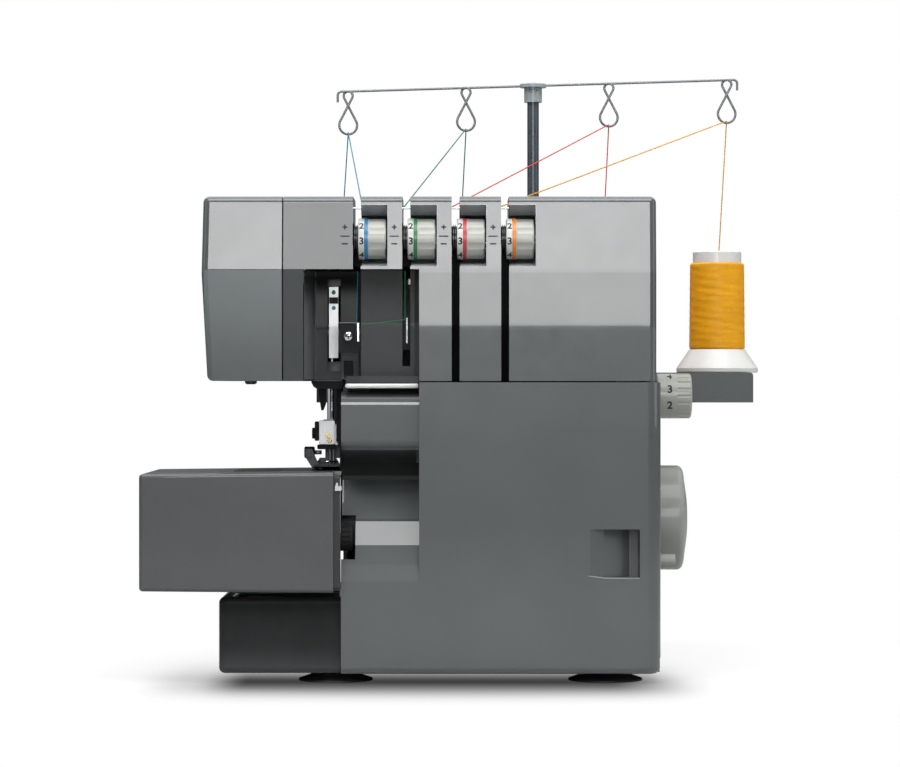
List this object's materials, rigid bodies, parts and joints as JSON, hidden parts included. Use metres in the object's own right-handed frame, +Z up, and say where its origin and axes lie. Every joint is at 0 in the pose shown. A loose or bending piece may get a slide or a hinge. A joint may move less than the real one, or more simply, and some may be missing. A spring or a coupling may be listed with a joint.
{
  "type": "overlock sewing machine",
  "caption": "Table-top overlock machine with tension dials, threading window, tipping front cover, slide-off cloth table and a rear thread stand with telescopic guide mast and cone spools.",
  "frame": {"origin": "centre of the overall box, on the surface the feet stand on", "axes": "+Z up, +X to the operator's right, +Y from the operator to the back"},
  "size_m": [0.3896, 0.26, 0.3818],
  "materials": {
    "casing_grey": "fine satin moulding",
    "table_grey": "fine satin moulding",
    "window_grey": "semi-gloss moulding",
    "black_plastic": "satin",
    "black_rubber": "matt",
    "dial_grey": "satin",
    "wheel_grey": "satin",
    "dial_blue": "satin, blue ring",
    "dial_green": "satin, green ring",
    "dial_red": "satin, red ring",
    "dial_orange": "satin, orange ring",
    "bright_steel": "ground",
    "chromed": "polished",
    "frame_alloy": "as cast",
    "bronze": "bored",
    "motor_steel": "enamel",
    "mast_metal": "satin enamel",
    "mast_cap_plastic": "satin",
    "spool_white": "smooth",
    "thread": "wound thread",
    "screw_steel": "black oxide"
  },
  "bodies": {
    "casing": {"rubber_feet": "black_rubber", "base_plate": "motor_steel", "left_base_cover": "casing_grey", "cover_hinge_rod": "bright_steel", "rear_cover": "casing_grey", "upper_cover": "casing_grey", "end_cover": "casing_grey", "threading_panel": "window_grey", "head_plate": "motor_steel", "main_frame": "frame_alloy", "shaft_bushes": "bronze", "motor": "motor_steel", "drive_belt": "black_rubber", "power_fittings": "black_plastic", "free_arm": "motor_steel", "needle_plate": "bright_steel", "lower_knife": "bright_steel", "knife_bracket": "bright_steel", "pivot_pins": "bright_steel", "tension_units": "chromed", "thread_guides": "chromed", "spool_stand": "casing_grey", "spool_pins": "black_plastic", "spool_cores": "spool_white", "thread_packs": "thread", "mast_outer_tube": "mast_metal", "casing_screws": "screw_steel", "threads_in_window": "thread", "threads_to_eyes": "thread", "threads_to_slots": "thread"},
    "drive": {"handwheel": "wheel_grey", "main_shaft": "bright_steel", "shaft_pulley": "frame_alloy"},
    "motor_rotor": {"motor_pulley": "bright_steel"},
    "needle_drive": {"needle_bar": "chromed", "needle_clamp": "bright_steel", "needles": "chromed"},
    "knife_drive": {"upper_knife": "bright_steel"},
    "take_up": {"take_up_lever": "bright_steel"},
    "lower_looper_arm": {"lower_looper": "bright_steel"},
    "upper_looper_arm": {"upper_looper": "bright_steel"},
    "feed": {"feed_dogs": "bright_steel"},
    "presser": {"presser_bar": "bright_steel", "presser_foot": "bright_steel"},
    "lifter": {"presser_lifter": "bright_steel"},
    "dial_one": {"tension_dial_blue": "dial_blue"},
    "dial_two": {"tension_dial_green": "dial_green"},
    "dial_three": {"tension_dial_red": "dial_red"},
    "dial_four": {"tension_dial_orange": "dial_orange"},
    "width_knob": {"cutting_width_knob": "black_plastic"},
    "length_dial": {"stitch_length_dial": "dial_grey"},
    "feed_lever": {"differential_lever": "wheel_grey"},
    "rocker": {"power_switch": "black_plastic"},
    "cover_carriage": {"cover_hinge_bushes": "black_plastic"},
    "cover": {"front_cover": "casing_grey"},
    "table": {"extension_table": "table_grey"},
    "mast": {"mast_inner_tube": "mast_metal", "mast_cap": "mast_cap_plastic", "thread_guide_bar": "bright_steel"}
  },
  "joints": [
    {"name": "handwheel_turn", "type": "hinge", "parent": "casing", "child": "drive", "pos_m": [0.1194, -0.044, 0.0967], "axis": [1, 0, 0], "continuous": true},
    {"name": "motor_spin", "type": "hinge", "parent": "casing", "child": "motor_rotor", "pos_m": [0.105, -0.014, 0.044], "axis": [1, 0, 0], "continuous": true},
    {"name": "needle_stroke", "type": "slide", "parent": "casing", "child": "needle_drive", "axis": [0, 0, 1], "range_m": [-0.007, 0.019]},
    {"name": "knife_stroke", "type": "slide", "parent": "casing", "child": "knife_drive", "axis": [0, 0, 1], "range_m": [-0.0018, 0.0048]},
    {"name": "take_up_swing", "type": "hinge", "parent": "casing", "child": "take_up", "pos_m": [-0.0814, -0.08, 0.2118], "axis": [1, 0, 0], "range_deg": [-9.6, 3.6]},
    {"name": "lower_looper_swing", "type": "hinge", "parent": "casing", "child": "lower_looper_arm", "pos_m": [-0.0954, -0.04, 0.093], "axis": [0, 1, 0], "range_deg": [-3.6, 9.6]},
    {"name": "upper_looper_swing", "type": "hinge", "parent": "casing", "child": "upper_looper_arm", "pos_m": [-0.1174, -0.04, 0.093], "axis": [0, 1, 0], "range_deg": [-5.8, 2.2]},
    {"name": "feed_stroke", "type": "slide", "parent": "casing", "child": "feed", "axis": [0, 1, 0], "range_m": [-0.002, 0.002]},
    {"name": "presser_lift", "type": "slide", "parent": "casing", "child": "presser", "axis": [0, 0, 1], "range_m": [0, 0.006]},
    {"name": "lifter_turn", "type": "hinge", "parent": "casing", "child": "lifter", "pos_m": [-0.0814, -0.036, 0.1988], "axis": [1, 0, 0], "range_deg": [0, 15.2]},
    {"name": "tension_turn_blue", "type": "hinge", "parent": "casing", "child": "dial_one", "pos_m": [-0.0555, -0.1105, 0.2676], "axis": [1, 0, 0], "range_deg": [-120, 180]},
    {"name": "tension_turn_green", "type": "hinge", "parent": "casing", "child": "dial_two", "pos_m": [-0.0258, -0.1105, 0.2676], "axis": [1, 0, 0], "range_deg": [-120, 180]},
    {"name": "tension_turn_red", "type": "hinge", "parent": "casing", "child": "dial_three", "pos_m": [0.0039, -0.1105, 0.2676], "axis": [1, 0, 0], "range_deg": [-120, 180]},
    {"name": "tension_turn_orange", "type": "hinge", "parent": "casing", "child": "dial_four", "pos_m": [0.0336, -0.1105, 0.2676], "axis": [1, 0, 0], "range_deg": [-120, 180]},
    {"name": "width_knob_turn", "type": "hinge", "parent": "casing", "child": "width_knob", "pos_m": [-0.075, -0.11, 0.0876], "axis": [1, 0, 0], "range_deg": [-180, 180]},
    {"name": "length_dial_turn", "type": "hinge", "parent": "casing", "child": "length_dial", "pos_m": [0.125, -0.064, 0.1726], "axis": [1, 0, 0], "range_deg": [-60, 120]},
    {"name": "feed_lever_turn", "type": "hinge", "parent": "casing", "child": "feed_lever", "pos_m": [0.118, -0.072, 0.072], "axis": [1, 0, 0], "range_deg": [-25, 25]},
    {"name": "switch_rock", "type": "hinge", "parent": "casing", "child": "rocker", "pos_m": [0.1134, 0.016, 0.064], "axis": [0, 1, 0], "range_deg": [-6, 6]},
    {"name": "cover_slide", "type": "slide", "parent": "casing", "child": "cover_carriage", "axis": [1, 0, 0], "range_m": [0, 0.008]},
    {"name": "cover_hinge", "type": "hinge", "parent": "cover_carriage", "child": "cover", "pos_m": [0, -0.115, 0.0132], "axis": [1, 0, 0], "range_deg": [0, 90]},
    {"name": "table_pull", "type": "slide", "parent": "casing", "child": "table", "axis": [-1, 0, 0], "range_m": [0, 0.075]},
    {"name": "mast_slide", "type": "slide", "parent": "casing", "child": "mast", "axis": [0, 0, -1], "range_m": [0, 0.05], "deforming": ["threads_to_eyes", "threads_to_slots"]}
  ],
  "couplings": [
    {"joint": "motor_spin", "follows": "handwheel_turn", "ratio": 3.8767},
    {"joint": "knife_stroke", "follows": "needle_stroke", "ratio": 0.25},
    {"joint": "take_up_swing", "follows": "needle_stroke", "rad_per_m": -8.7266},
    {"joint": "lower_looper_swing", "follows": "needle_stroke", "rad_per_m": 8.7266},
    {"joint": "upper_looper_swing", "follows": "needle_stroke", "rad_per_m": -5.236},
    {"joint": "lifter_turn", "follows": "presser_lift", "rad_per_m": 43.633}
  ]
}
